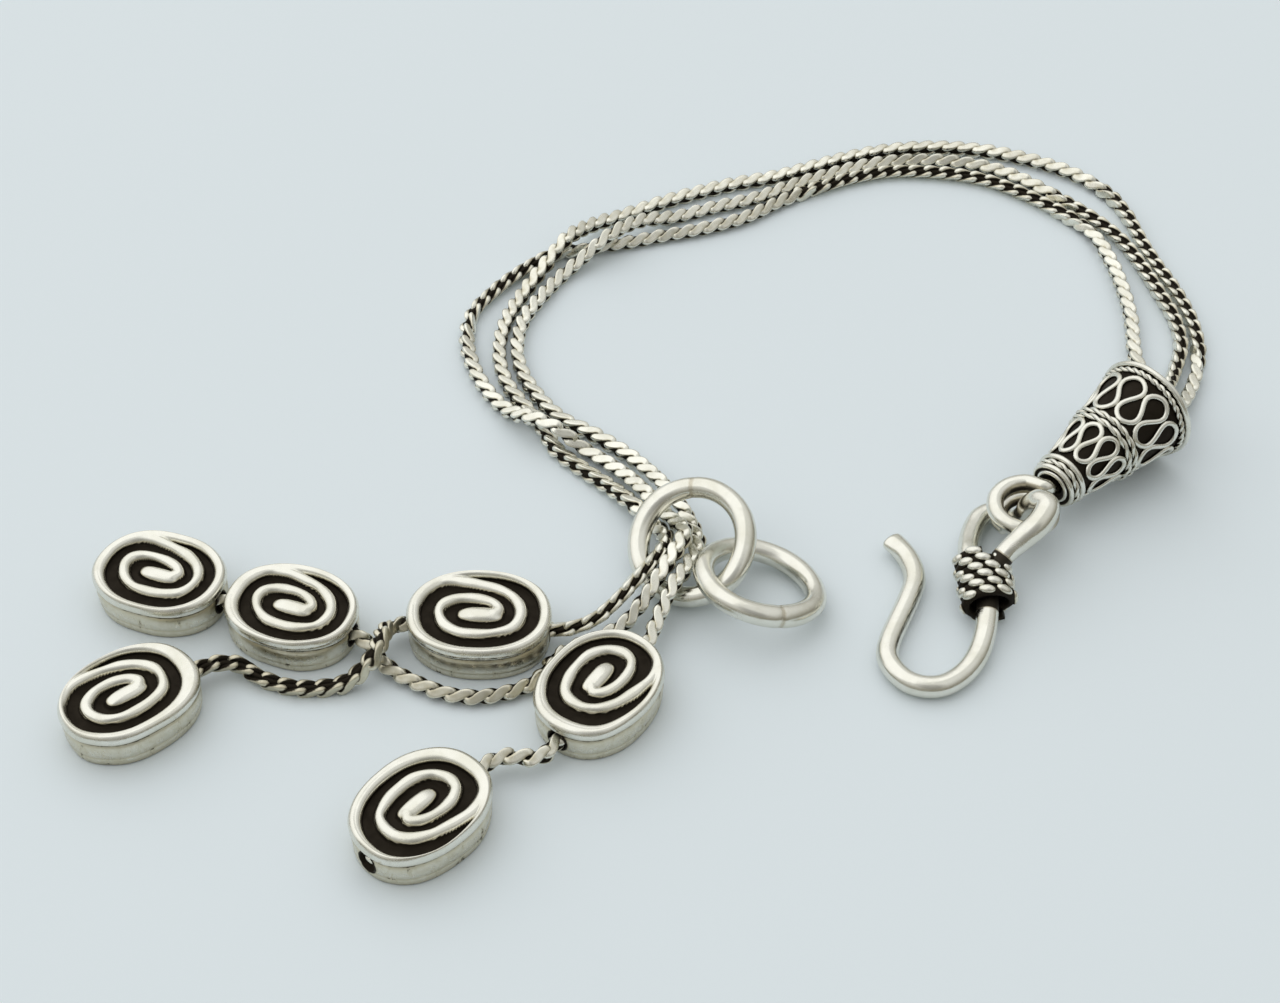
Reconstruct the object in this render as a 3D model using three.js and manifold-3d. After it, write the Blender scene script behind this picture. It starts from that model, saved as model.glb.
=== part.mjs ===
// Three-strand charm bracelet in oxidised silver, lying open on a flat surface.
// Three curb chains run from a hollow end cone, through a soldered ring, to six spiral beads.
// A wire hook with a teardrop eye is linked through the wire eye of the end cone.
// Units are millimetres, +Z is up, and the bracelet rests on z = 0.
import * as THREE from 'three';
import { mergeVertices } from 'three/addons/utils/BufferGeometryUtils.js';
import Module from 'manifold-3d';

const wasm = await Module();
wasm.setup();

// ---------------------------------------------------------------- driving dimensions
const CHAIN_RADIUS = 0.65;          // half the width of the tight curb chain
const CHAIN_SIDES = 8;

const BEAD = {
  halfLength: 6.28,                 // along the hole
  halfWidth: 4.95,
  height: 3.9,
  boreRadius: 1.1,
  boreHeight: 1.7,                  // height of the hole's axis above the flat underside
  boreLead: 0.6,                    // how far a chain runs straight on outside the hole
  boreStop: 0.85,                   // where a chain ends inside its last bead, as a share
  recessFloor: 3.05,
  squareness: 2.2,                  // 2 is an ellipse, more is squarer
  profile: [                        // each row is how far in from the outline, and how high
    [0.35, 0], [0.3, 2.1], [0, 2.95], [0.13, 3.62], [0.65, 3.9], [1.2, 3.68], [1.4, 3.05],
  ],
  wireWidth: 1.1,                   // of the spiral wire
  spiral: [                         // from the rim, once round, to the hook at its end
    [-2.2, 4.05], [-0.7, 4.0], [0.7, 3.4], [2.6, 2.1], [3.55, 0.65], [3.5, -1], [2.5, -2.15],
    [0.95, -2.6], [-0.8, -2.5], [-2.75, -1.5], [-3.6, -0.3], [-3.1, 1.05], [-1.4, 1.85],
    [0.55, 1.7], [2, 0.85], [2.15, -0.35],
  ],
  barMiddle: [0.35, -0.65],         // of the bar that the hook ends in
  barLength: 1.85,                  // half sizes of the bar
  barWidth: 0.75,
  barSides: 6,
  spiralSteps: 20,
  wallSides: 18,
};

const CONE = {
  length: 14,
  narrowRadius: 1.95,
  wideRadius: 4.7,
  wall: 0.75,
  throatRadius: 1.15,               // hole in the narrow end, for the stem of the wire eye
  throatLength: 2.0,
  bandWire: 0.33,                   // radius of the plain and twisted bands
  bands: [                          // height of each band above the narrow end, and its wires
    { from: 0, wires: 3 },
    { from: 6.4, wires: 2 },
    { from: 12.68, wires: 2 },
  ],
  tiers: [[2.35, 6.1], [8.1, 12.3]],  // lowest and highest middle of the looping wire
  laceWire: 0.27,                   // radius of the wire that loops over both tiers
  laceLoops: 8,                     // loops round each tier
  laceSway: 0.3,                    // how far each loop swells sideways, as a share of its width
  laceRise: 0.08,                   // height of the wire's middle above the bare cone
  laceRun: 1.04,                    // each loop runs on a little into the next
  lacePoints: 6,
};

const EYE = {                       // the wire eye at the narrow end of the cone
  wire: 0.65,
  radius: 2.9,                      // of the coil where it starts, to the middle of the wire
  closing: 0.5,                     // how far the coil closes in over one turn
  turns: 1.5,
  points: 16,
  pitch: 1.3,                       // how far the coil comes down in one turn
  rise: 0.8,                        // how far above the cone's axis it starts
  lead: 0.05,                       // where it starts, in radians from the cone's direction
  standOff: 4.05,                   // from the cone's narrow end to the middle of the coil
  stemStops: [6.6, 3.2, 0.6],       // heights of the stem's points inside the cone
  discHeight: 6.4,
  discRadius: 2.0,                  // the disc inside the cone that the chains end on
  discThickness: 0.7,
  steps: 29,
};

const RING_WIRE = 1.0;              // radius of the wire of both rings
const HOOK_WIRE = 1.0;              // radius of the wire of the hook
const HOOK_STEPS = 24;
const HOOK_EYE_STEPS = 20;

const WRAP = {                      // the close coil of wire round the neck of the hook
  turns: 6,
  halfWidth: 2.75,
  halfHeight: 2.05,
  groove: 0.88,                     // depth between two turns, as a share of the half sizes
  sides: 10,
  room: 1.4,                        // radius of the room inside for the wires of the hook
  runOut: 0.3,                      // how far that room runs on past the ends of the wires
};

// ---------------------------------------------------------------- finishes
const silver = (name) => new THREE.MeshStandardMaterial({
  name, color: 0xcfccc4, roughness: 0.22, metalness: 1,
});
const brightSilver = silver('bright_silver');
const chainSilver = silver('chain_silver');
chainSilver.color.set(0xb9b6ad);
const carvedSilver = silver('oxidised_silver');
carvedSilver.color.set(0x8f8c86);

// ---------------------------------------------------------------- helpers
const point = ([x, y, z]) => new THREE.Vector3(x, y, z);

/** A closed geometry as a manifold solid, with only its positions kept. */
function solid(geometry) {
  const sameVertex = 1e-5;
  geometry.deleteAttribute('normal');
  geometry.deleteAttribute('uv');
  const merged = mergeVertices(geometry, sameVertex);
  return new wasm.Manifold(new wasm.Mesh({
    numProp: 3,
    vertProperties: new Float32Array(merged.attributes.position.array),
    triVerts: new Uint32Array(merged.index.array),
  }));
}

/** A manifold solid as a geometry. */
function geometryOf(body) {
  const mesh = body.getMesh();
  const geometry = new THREE.BufferGeometry();
  geometry.setAttribute('position', new THREE.BufferAttribute(mesh.vertProperties, 3));
  geometry.setIndex(new THREE.BufferAttribute(mesh.triVerts, 1));
  geometry.computeVertexNormals();
  return geometry;
}

/** A round or oval section with the given number of sides. */
function section(radiusX, radiusY, sides) {
  const corners = Array.from({ length: sides }, (_, i) => {
    const angle = (i + 0.5) / sides * 2 * Math.PI;
    return new THREE.Vector2(radiusX * Math.cos(angle), radiusY * Math.sin(angle));
  });
  return new THREE.Shape(corners);
}

/** A wire of one section swept along a smooth line through the points. */
function wire(points, shape, steps) {
  const path = new THREE.CatmullRomCurve3(points);
  return new THREE.ExtrudeGeometry(shape, { steps, bevelEnabled: false, extrudePath: path });
}

/** The same points with a short straight stretch added at both ends. */
function lengthened(points, by) {
  const first = points[0];
  const last = points[points.length - 1];
  const before = first.clone().sub(points[1]).setLength(by).add(first);
  const after = last.clone().sub(points[points.length - 2]).setLength(by).add(last);
  return [before, ...points, after];
}

/** A geometry turned round the Z axis from a closed outline of [radius, height] rows. */
function turned(rows, segments) {
  const outline = rows.map(([radius, height]) => new THREE.Vector2(radius, height));
  return new THREE.LatheGeometry(outline, segments).rotateX(Math.PI / 2);
}

const bracelet = new THREE.Group();

/** Adds a named piece to the bracelet, or to a placed group inside it. */
function addPiece(name, geometry, material, parent = bracelet) {
  const mesh = new THREE.Mesh(geometry, material);
  mesh.name = name;
  parent.add(mesh);
  return mesh;
}

// ---------------------------------------------------------------- where the beads lie
// x and y are the middle. turn is the way in for the chain, in degrees from +X, and tail the
// direction of the spiral's hook from it. size is against BEAD.
const BEADS = [
  { name: 'bead_1', x: -46.6, y: -17.0, turn: -20, tail: 0, size: 0.98 },
  { name: 'bead_2', x: -34.4, y: -21.0, turn: -20, tail: 0, size: 0.97 },
  { name: 'bead_3', x: -17.7, y: -22.0, turn: -3, tail: 0, size: 1.03 },
  { name: 'bead_4', x: -7.0, y: -30.0, turn: 55, tail: 180, size: 1.01 },
  { name: 'bead_5', x: -47.2, y: -31.1, turn: 38, tail: 0, size: 0.99 },
  { name: 'bead_6', x: -21.5, y: -43.1, turn: 48, tail: 180, size: 1.02 },
];

/** Route rows along a bead's hole, from its near end to its far end, or to a stop inside it. */
function throughHole(name, last = 'out') {
  const { x, y, turn, size } = BEADS.find((bead) => bead.name === name);
  const angle = THREE.MathUtils.degToRad(turn);
  const half = BEAD.halfLength * size;
  const { boreLead, boreStop } = BEAD;
  const stations = [half + boreLead, half * boreStop, -half * boreStop];
  if (last === 'out') stations.push(-half - boreLead);
  return stations.map((along) => [
    x + along * Math.cos(angle), y + along * Math.sin(angle), BEAD.boreHeight,
  ]);
}

// ---------------------------------------------------------------- the three chains
// Each route is the centre line of one curb chain, from inside the end cone to its last bead.
// Columns are x, y and z.
const STRANDS = {
  strand_a: {
    steps: 64,
    route: [
      [40.9, -2.3, 4.3], [43.5, 0.2, 4.4], [46.0, 2.6, 4.0], [48.3, 5.6, 2.3], [50.1, 8.9, 1.0],
      [51.5, 12.2, 0.7], [52.4, 15.9, 0.7], [52.5, 20.0, 0.7], [51.6, 25.0, 0.7], [50.4, 29.0, 0.7],
      [49.3, 33.3, 0.7], [48.5, 37.2, 0.7], [47.2, 40.8, 0.7], [45.2, 43.6, 0.7], [42.3, 45.9, 0.7],
      [38.7, 47.7, 0.7], [33.9, 49.2, 0.7], [28.4, 49.7, 0.7], [22.9, 49.0, 0.7], [18.9, 47.7, 0.7],
      [14.9, 46.0, 0.7], [11.1, 44.4, 0.7], [6.8, 43.2, 0.7], [3.0, 41.8, 0.7], [-1.4, 39.8, 0.7],
      [-5.6, 37.4, 0.8], [-8.7, 34.9, 1.6], [-11.2, 31.5, 2.5], [-13.3, 28.5, 1.5],
      [-15.2, 25.5, 0.7], [-17.0, 20.8, 0.7], [-17.6, 16.1, 0.7], [-16.8, 11.6, 0.7],
      [-14.9, 7.9, 0.7], [-13.1, 5.2, 0.7], [-11.6, 1.9, 0.7], [-9.0, -0.9, 0.7], [-6.5, -3.4, 0.9],
      [-4.2, -6.5, 1.6], [-2.3, -9.2, 1.7], [-1.15, -12.0, 2.6], [-1.9, -14.8, 3.35],
      [-4.0, -17.6, 2.9], [-5.8, -19.7, 2.3], [-8.0, -21.6, 1.9],
      ...throughHole('bead_3'), [-25.7, -22.5, 1.9], [-26.0, -24.0, 2.9], [-26.3, -25.9, 3.2],
      [-27.3, -27.3, 2.2], [-28.9, -28.5, 1.1], [-31.0, -28.9, 0.7], [-33.6, -28.9, 0.7],
      [-36.4, -27.8, 0.8], [-39.0, -26.2, 1.4], ...throughHole('bead_5', 'inside'),
    ],
  },
  strand_b: {
    steps: 64,
    route: [
      [39.4, -0.7, 4.3], [41.7, 1.9, 4.2], [43.6, 4.8, 3.7], [45.2, 8.2, 2.3], [46.0, 11.8, 0.9],
      [46.0, 16.0, 0.7], [46.4, 21.5, 0.7], [46.1, 26.9, 0.7], [45.4, 31.1, 0.7], [44.2, 34.9, 0.7],
      [41.3, 38.3, 0.7], [37.5, 41.7, 0.7], [33.9, 43.9, 0.7], [29.1, 45.2, 0.7], [23.7, 45.4, 0.7],
      [19.5, 44.3, 0.7], [15.6, 42.5, 0.7], [11.6, 40.3, 0.7], [7.7, 37.5, 0.7], [2.9, 35.5, 0.7],
      [-1.4, 34.3, 0.7], [-5.0, 33.2, 0.7], [-8.7, 32.4, 0.7], [-12.3, 31.3, 0.7],
      [-15.2, 29.1, 0.7], [-18.4, 25.4, 0.7], [-20.4, 22.0, 0.7], [-20.9, 17.6, 0.7],
      [-20.0, 13.4, 0.7], [-18.3, 9.7, 0.7], [-16.3, 6.9, 1.0], [-13.8, 4.4, 2.4],
      [-11.5, 3.0, 2.4], [-9.2, 2.0, 0.9], [-6.8, 0.1, 0.7], [-4.4, -2.8, 1.3], [-2.5, -6.2, 2.2],
      [-0.6, -9.5, 2.6], [0.6, -12.5, 3.85], [-0.8, -15.8, 3.85], [-2.6, -18.7, 3.0],
      [-3.9, -20.4, 2.0], [-5.5, -21.7, 1.1], [-7.8, -22.8, 0.7], [-10.5, -24.4, 0.7],
      [-12.3, -27.15, 0.7], [-14.4, -28.5, 0.7], [-17.6, -29.3, 0.7], [-20.7, -28.8, 0.7],
      [-23.3, -27.5, 0.7], [-24.8, -26.6, 0.7], [-26.3, -25.35, 1.1],
      ...throughHole('bead_2', 'inside'), ...throughHole('bead_1', 'inside').slice(1),
    ],
  },
  strand_c: {
    steps: 57,
    route: [
      [40.1, -1.6, 5.9], [42.6, 1.0, 6.1], [44.9, 3.5, 5.4], [46.8, 6.5, 3.8], [48.2, 9.5, 2.0],
      [49.5, 12.9, 0.8], [50.7, 16.5, 0.7], [50.8, 20.5, 0.7], [49.8, 25.1, 0.7], [48.6, 29.6, 0.7],
      [47.1, 33.7, 0.7], [44.9, 37.0, 0.7], [42.4, 39.7, 0.7], [39.7, 42.5, 0.7], [36.7, 45.0, 0.7],
      [32.0, 47.0, 0.7], [26.1, 47.5, 0.7], [21.1, 46.6, 0.7], [16.6, 44.8, 0.7], [12.7, 42.9, 0.7],
      [8.9, 40.8, 0.7], [4.5, 39.2, 0.7], [0.2, 37.5, 0.7], [-3.6, 35.3, 1.9], [-6.7, 32.2, 2.5],
      [-9.5, 29.9, 1.3], [-11.5, 27.9, 0.7], [-13.5, 24.6, 0.7], [-15.3, 20.7, 0.7],
      [-15.8, 16.6, 0.7], [-15.2, 12.9, 0.7], [-13.6, 9.4, 0.7], [-11.2, 6.1, 0.7],
      [-8.1, 3.9, 0.7], [-5.1, 1.3, 0.8], [-2.7, -1.9, 1.5], [-0.6, -5.6, 2.2], [1.0, -9.3, 2.4],
      [1.8, -12.5, 2.5], [0.9, -15.5, 2.9], [-0.65, -18.7, 3.25], [-1.8, -21.2, 2.3],
      ...throughHole('bead_4'), [-12.3, -36.85, 1.65], [-15.0, -36.75, 1.65],
      ...throughHole('bead_6', 'inside'),
    ],
  },
};

function addStrands() {
  const round = section(CHAIN_RADIUS, CHAIN_RADIUS, CHAIN_SIDES);
  for (const [name, { steps, route }] of Object.entries(STRANDS)) {
    addPiece(name, wire(route.map(point), round, steps), chainSilver);
  }
}

// ---------------------------------------------------------------- the spiral beads
/** Point of a squarish oval with the given half sizes. */
function ovalPoint(halfLength, halfWidth, angle) {
  const bend = (value) => Math.sign(value) * Math.abs(value) ** (2 / BEAD.squareness);
  return [halfLength * bend(Math.cos(angle)), halfWidth * bend(Math.sin(angle))];
}

/** The closed body of a bead: flat underside, upright wall, rounded rim and sunk floor. */
function beadBody(size) {
  const halfLength = BEAD.halfLength * size;
  const halfWidth = BEAD.halfWidth * size;
  const radii = BEAD.profile.map(([inset, height]) => [halfWidth - inset, height]);
  const floor = radii[radii.length - 1][1];
  const body = turned([[0, 0], ...radii, [0, floor]], BEAD.wallSides);
  const position = body.attributes.position;
  const onAxis = 1e-6;
  for (let i = 0; i < position.count; i += 1) {
    const radius = Math.hypot(position.getX(i), position.getY(i));
    const inset = halfWidth - radius;
    const angle = Math.atan2(position.getY(i), position.getX(i));
    const [x, y] = ovalPoint(halfLength - inset, halfWidth - inset, angle);
    position.setXY(i, radius < onAxis ? 0 : x, radius < onAxis ? 0 : y);
  }
  return solid(body);
}

/** The raised wire that leaves the rim, winds once round and hooks back into a short bar. */
function beadSpiral(size, tail) {
  const { height, recessFloor } = BEAD;
  const path = BEAD.spiral.map(([x, y]) => new THREE.Vector3(x, y, recessFloor));
  const relief = height - recessFloor;
  const square = section(relief * Math.SQRT2, BEAD.wireWidth * Math.SQRT1_2, 4);
  const winding = wire(path, square, BEAD.spiralSteps);
  const oval = section(BEAD.barLength, BEAD.barWidth, BEAD.barSides);
  const bar = new THREE.ExtrudeGeometry(oval, { depth: 2 * relief, bevelEnabled: false });
  bar.translate(...BEAD.barMiddle, recessFloor - relief);
  const [windingSolid, barSolid] = [winding, bar].map((geometry) => (
    solid(geometry.rotateZ(THREE.MathUtils.degToRad(tail)).scale(size, size, 1))));
  return windingSolid.add(barSolid);
}

function addBeads() {
  const { boreRadius, boreHeight, halfLength: reach } = BEAD;
  for (const { name, x, y, turn, tail, size } of BEADS) {
    const bore = new THREE.CylinderGeometry(boreRadius, boreRadius, 3 * reach, CHAIN_SIDES);
    bore.rotateZ(Math.PI / 2).translate(0, 0, boreHeight);
    const body = beadBody(size).add(beadSpiral(size, tail)).subtract(solid(bore));
    const bead = addPiece(name, geometryOf(body), carvedSilver);
    bead.position.set(x, y, 0);
    bead.rotation.z = THREE.MathUtils.degToRad(turn);
  }
}

// ---------------------------------------------------------------- the two linked rings
// Columns are the middle, the wire radius, the half sizes across and along, and the slopes.
const RINGS = [
  { name: 'bundle_ring', middle: [1.2, -13.4, 3.65], across: 5.05, along: 5.25, slope: [0.34, 0.47] },
  { name: 'link_ring', middle: [7.2, -17.65, 2.85], across: 5.2, along: 5.1, slope: [-0.27, -0.22] },
];

function addRings() {
  const wireSides = 8;
  const ringSides = 21;
  for (const { name, middle, across, along, slope } of RINGS) {
    const mean = (across + along) / 2;
    const ring = new THREE.TorusGeometry(mean, RING_WIRE, wireSides, ringSides);
    ring.scale(across / mean, along / mean, 1);
    const mesh = addPiece(name, geometryOf(solid(ring)), brightSilver);
    const up = new THREE.Vector3(-slope[0], -slope[1], 1).normalize();
    const sideways = new THREE.Vector3(1, 0, slope[0]).normalize();
    const frame = new THREE.Matrix4().makeBasis(sideways, up.clone().cross(sideways), up);
    mesh.quaternion.setFromRotationMatrix(frame);
    mesh.position.set(...middle);
  }
}

// ---------------------------------------------------------------- the end cone and its wire eye
const CONE_FOOT = point([34.7, -6.65, 4.15]);   // middle of the narrow end
const CONE_MOUTH = point([44.87, 3.0, 5.35]);   // middle of the wide end

/** The outer radius of the bare cone at a height above its narrow end. */
function coneRadius(height) {
  const share = height / CONE.length;
  return THREE.MathUtils.lerp(CONE.narrowRadius, CONE.wideRadius, share);
}

/** The bare cone with its wire bands, as one turned outline round its own axis. */
function coneBody() {
  const { length, wall, throatRadius, throatLength, bandWire, bands } = CONE;
  const outer = bands.flatMap(({ from, wires }) => [
    [coneRadius(from), from],
    ...Array.from({ length: wires }, (_, i) => from + 2 * bandWire * i).flatMap((low) => [
      [coneRadius(low + bandWire) + bandWire, low + bandWire],
      [coneRadius(low + 2 * bandWire), low + 2 * bandWire],
    ]),
  ]);
  const inner = [
    [coneRadius(length) - wall, length], [coneRadius(throatLength) - wall / 2, throatLength],
    [throatRadius, throatLength - wall], [throatRadius, 0],
  ];
  const outline = [...inner, ...outer, inner[0]];
  return solid(turned(outline, 2 * CONE.laceLoops));
}

/** One up-and-down loop of the wire that winds round a tier of the cone. */
function laceLoop(low, high, index) {
  const loopAngle = 2 * Math.PI / CONE.laceLoops;
  const middle = (low + high) / 2;
  const reach = (high - low) / 2;
  const { lacePoints: count, laceRun, laceSway, laceRise } = CONE;
  const points = Array.from({ length: count + 1 }, (_, i) => {
    const phase = (i / count) * laceRun * 2 * Math.PI;
    const height = middle - reach * Math.cos(phase);
    const along = index + phase / (2 * Math.PI) + laceSway * Math.sin(2 * phase);
    const angle = loopAngle * along;
    const radius = coneRadius(height) + laceRise;
    return new THREE.Vector3(radius * Math.cos(angle), radius * Math.sin(angle), height);
  });
  return solid(wire(points, section(CONE.laceWire, CONE.laceWire, 3), count));
}

function placedAtCone() {
  const group = new THREE.Group();
  const axis = CONE_MOUTH.clone().sub(CONE_FOOT).normalize();
  group.quaternion.setFromUnitVectors(new THREE.Vector3(0, 0, 1), axis);
  group.position.copy(CONE_FOOT);
  bracelet.add(group);
  return group;
}

function addCone(parent) {
  let body = coneBody();
  for (const [low, high] of CONE.tiers) {
    for (let index = 0; index < CONE.laceLoops; index += 1) {
      body = body.add(laceLoop(low, high, index));
    }
  }
  addPiece('end_cone', geometryOf(body), carvedSilver, parent);
}

/** The wire that holds the chains inside the cone, leaves it and coils into an eye. */
function addConeEye() {
  const axis = CONE_MOUTH.clone().sub(CONE_FOOT).normalize();
  const alongAxis = new THREE.Quaternion().setFromUnitVectors(new THREE.Vector3(0, 0, 1), axis);
  const onAxis = (height) => CONE_FOOT.clone().addScaledVector(axis, height);
  const middle = onAxis(-EYE.standOff);
  const towardsCone = Math.atan2(axis.y, axis.x);
  const coil = Array.from({ length: EYE.points + 1 }, (_, i) => {
    const wound = EYE.turns * i / EYE.points;
    const angle = towardsCone + EYE.lead + 2 * Math.PI * wound;
    const radius = EYE.radius - EYE.closing * wound;
    const x = middle.x + radius * Math.cos(angle);
    const y = middle.y + radius * Math.sin(angle);
    return new THREE.Vector3(x, y, middle.z + EYE.rise - EYE.pitch * wound);
  });
  const round = section(EYE.wire, EYE.wire, 8);
  const { discRadius, discThickness } = EYE;
  const disc = new THREE.CylinderGeometry(discRadius, discRadius, discThickness, 10);
  disc.rotateX(Math.PI / 2).applyQuaternion(alongAxis);
  const seat = onAxis(EYE.discHeight + discThickness / 2);
  disc.translate(seat.x, seat.y, seat.z);
  const stem = EYE.stemStops.map(onAxis);
  const body = solid(wire([...stem, ...coil], round, EYE.steps)).add(solid(disc));
  addPiece('cone_eye', geometryOf(body), brightSilver);
}

// ---------------------------------------------------------------- the hook and its wire wrap
const HOOK_ROUTE = [
  [19.4, -10.6, 1.3], [20.5, -12.0, 1.1], [21.3, -13.9, 1.0], [21.4, -15.8, 1.0], [20.6, -18.3, 1.0],
  [19.5, -20.9, 1.0], [18.6, -23.2, 1.0], [18.3, -24.8, 1.0], [18.8, -26.5, 1.0], [20.0, -27.9, 1.0],
  [21.5, -28.4, 1.0], [23.0, -28.2, 1.0], [24.7, -27.0, 1.0], [26.1, -25.1, 1.1], [27.0, -22.8, 1.4],
  [27.5, -20.2, 1.8], [27.6, -17.5, 2.1], [27.5, -14.2, 2.2],
];
const HOOK_EYE_ROUTE = [
  [26.9, -16.4, 2.2], [26.5, -13.8, 2.0], [26.7, -11.6, 1.5], [27.4, -9.2, 1.1], [28.3, -7.6, 1.0],
  [29.4, -7.1, 1.0], [30.5, -7.6, 1.0], [31.4, -8.5, 1.6], [31.9, -9.2, 2.9], [32.2, -9.4, 4.2],
  [32.9, -10.0, 5.4], [33.4, -11.3, 5.95], [32.5, -13.0, 5.6], [30.9, -14.0, 4.6],
  [29.4, -14.9, 3.5], [28.3, -16.2, 2.6],
];
const WRAP_ENDS = [point([27.7, -20.4, 2.05]), point([27.4, -14.0, 2.3])];

function addHook() {
  const round = section(HOOK_WIRE, HOOK_WIRE, 8);
  const shank = solid(wire(HOOK_ROUTE.map(point), round, HOOK_STEPS));
  const eye = solid(wire(HOOK_EYE_ROUTE.map(point), round, HOOK_EYE_STEPS));
  addPiece('hook', geometryOf(shank.add(eye)), brightSilver);
}

/** A close coil of wire round the neck of the hook, with a ridge for each turn. */
function addWrap() {
  const [low, high] = WRAP_ENDS;
  const axis = high.clone().sub(low);
  const length = axis.length();
  const pitch = length / WRAP.turns;
  const ridges = Array.from({ length: WRAP.turns }, (_, i) => [
    [WRAP.groove, i * pitch], [1, (i + 0.5) * pitch],
  ]).flat();
  const rows = [[0, 0], ...ridges, [WRAP.groove, length], [0, length]];
  const sleeve = turned(rows, WRAP.sides);
  sleeve.scale(WRAP.halfWidth, WRAP.halfHeight, 1);
  sleeve.applyQuaternion(new THREE.Quaternion().setFromUnitVectors(
    new THREE.Vector3(0, 0, 1), axis.clone().normalize()));
  sleeve.translate(low.x, low.y, low.z);
  const room = section(WRAP.room, WRAP.room, 8);
  const roomFor = (route, steps) => solid(wire(lengthened(route.map(point), WRAP.runOut), room, steps));
  const shankRoom = roomFor(HOOK_ROUTE, HOOK_STEPS);
  const eyeRoom = roomFor(HOOK_EYE_ROUTE, HOOK_EYE_STEPS);
  const body = solid(sleeve).subtract(shankRoom).subtract(eyeRoom);
  addPiece('hook_wrap', geometryOf(body), carvedSilver);
}

// ---------------------------------------------------------------- assembly
addStrands();
addBeads();
addRings();
addCone(placedAtCone());
addConeEye();
addHook();
addWrap();

// The origin is the middle of the whole bracelet, on the surface that it lies on.
const middle = new THREE.Box3().setFromObject(bracelet, true).getCenter(new THREE.Vector3());
bracelet.position.set(-middle.x, -middle.y, 0);

export default bracelet;
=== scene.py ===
"""Looks of the three-strand charm bracelet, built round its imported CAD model.

Shapes are worked out in millimetres in the layout that the CAD source uses, and become metres in
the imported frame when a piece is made.
"""

from math import atan2, cos, log, pi, radians, sin, tau
from types import SimpleNamespace as Spec

import bpy
import numpy as np
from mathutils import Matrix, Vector


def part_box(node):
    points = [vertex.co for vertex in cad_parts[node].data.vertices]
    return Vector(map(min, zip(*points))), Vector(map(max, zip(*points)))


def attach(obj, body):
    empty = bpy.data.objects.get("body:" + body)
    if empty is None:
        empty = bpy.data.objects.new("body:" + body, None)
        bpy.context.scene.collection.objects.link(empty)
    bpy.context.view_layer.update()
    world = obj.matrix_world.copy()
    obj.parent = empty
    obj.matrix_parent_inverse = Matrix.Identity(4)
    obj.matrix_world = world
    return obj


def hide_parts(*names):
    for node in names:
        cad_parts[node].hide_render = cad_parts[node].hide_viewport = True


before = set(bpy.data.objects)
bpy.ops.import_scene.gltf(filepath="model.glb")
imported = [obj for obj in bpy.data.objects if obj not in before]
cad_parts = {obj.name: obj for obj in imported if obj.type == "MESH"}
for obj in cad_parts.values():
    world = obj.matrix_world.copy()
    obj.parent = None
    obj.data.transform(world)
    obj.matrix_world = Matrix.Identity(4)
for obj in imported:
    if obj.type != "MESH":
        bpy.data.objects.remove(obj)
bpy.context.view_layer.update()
rng = np.random.default_rng(7)

MM = 0.001

# ---- where things lie, in millimetres
# Beads: turn points to the end where the chain goes in, in degrees, and way is -1 where the face
# is turned end for end. Size is against BEAD. Off is how far the raised face sits off the middle
# of the bead, and swirl how far its spiral sits off the middle of the face, both along the face
# and across it.
BEADS = {
    "bead_1": Spec(x=-46.6, y=-17.0, turn=-20, way=1, size=0.98, off=(0.05, -0.05), swirl=(-0.12, 0.42)),
    "bead_2": Spec(x=-34.4, y=-21.0, turn=-20, way=1, size=0.97, off=(0.25, 0.0), swirl=(-0.15, 0.40)),
    "bead_3": Spec(x=-17.7, y=-22.0, turn=-3, way=1, size=1.03, off=(0.05, 0.2), swirl=(-0.12, 0.32)),
    "bead_4": Spec(x=-7.0, y=-30.0, turn=55, way=-1, size=1.01, off=(-0.3, 0.0), swirl=(-0.35, 0.12)),
    "bead_5": Spec(x=-47.2, y=-31.1, turn=38, way=1, size=0.99, off=(-0.4, 0.35), swirl=(-0.05, 0.28)),
    "bead_6": Spec(x=-21.5, y=-43.1, turn=48, way=-1, size=1.02, off=(0.25, 0.35), swirl=(-0.28, 0.0)),
}
# The outer hole of these beads doesn't show in the photo, so they are bored from one end only.
CLOSED_BEADS = ("bead_1", "bead_5")
# Floor is the height of a bead's sunk face. The bore's stop and reaches are shares of half_length.
BEAD = Spec(half_length=6.28, half_width=4.95, floor=3.05, squareness=2.2, bore_radius=0.92,
            bore_height=1.7, bore_lead=0.6, bore_stop=0.85, bore_reach=1.4, closed_reach=0.56)


def through_hole(name, last="out"):
    """Route rows along a bead's hole, from its near end to its far end, or to a stop inside it."""
    bead = BEADS[name]
    angle = radians(bead.turn)
    half = BEAD.half_length * bead.size
    stations = [half + BEAD.bore_lead, half * BEAD.bore_stop, -half * BEAD.bore_stop]
    if last == "out":
        stations.append(-half - BEAD.bore_lead)
    return [(bead.x + station * cos(angle), bead.y + station * sin(angle),
             BEAD.bore_height) for station in stations]


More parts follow.
